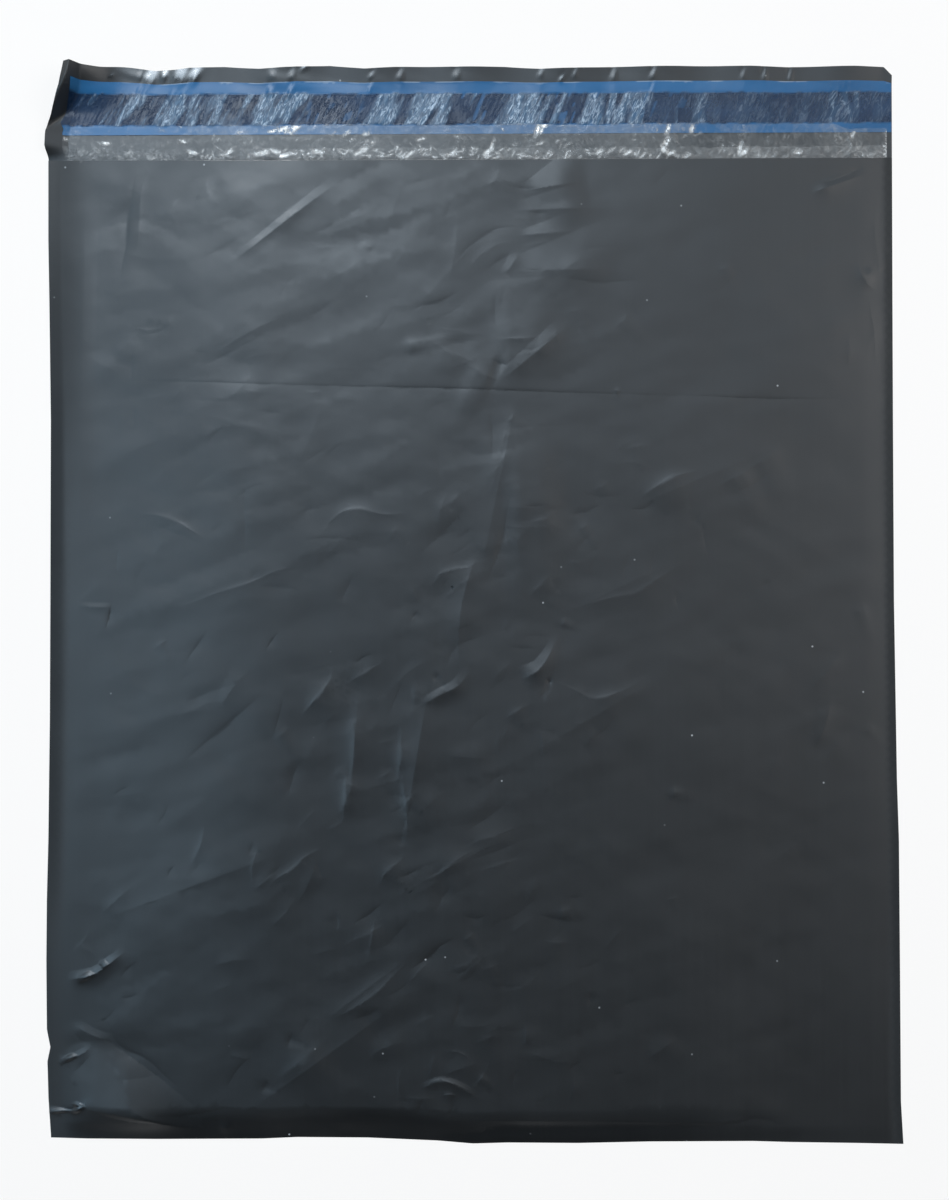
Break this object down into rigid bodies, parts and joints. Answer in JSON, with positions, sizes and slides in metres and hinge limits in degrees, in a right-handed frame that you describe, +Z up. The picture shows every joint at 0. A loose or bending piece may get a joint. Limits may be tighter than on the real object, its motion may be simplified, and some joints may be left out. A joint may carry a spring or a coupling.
{
  "type": "security mailing envelope",
  "caption": "Dark grey film mailing envelope lying flat and empty, with its adhesive flap open, a blue release strip on the flap and a clear film lining showing at the mouth",
  "frame": {"origin": "middle of the underside, on the surface that the envelope lies on", "axes": "+X to the right across the envelope, +Y from the bottom fold to the flap, +Z up out of the front panel"},
  "size_m": [0.35, 0.443, 0.0141],
  "materials": {
    "dark_film": "satin dark grey polythene film with soft creases",
    "clear_film": "clear crinkled film with a slight haze",
    "adhesive": "tacky dark film of adhesive",
    "blue_film": "thin see-through blue film with crinkles"
  },
  "bodies": {
    "root": {"outer_pouch": "dark_film", "inner_lining": "clear_film", "adhesive_strip": "adhesive", "release_strip": "blue_film"}
  },
  "joints": []
}
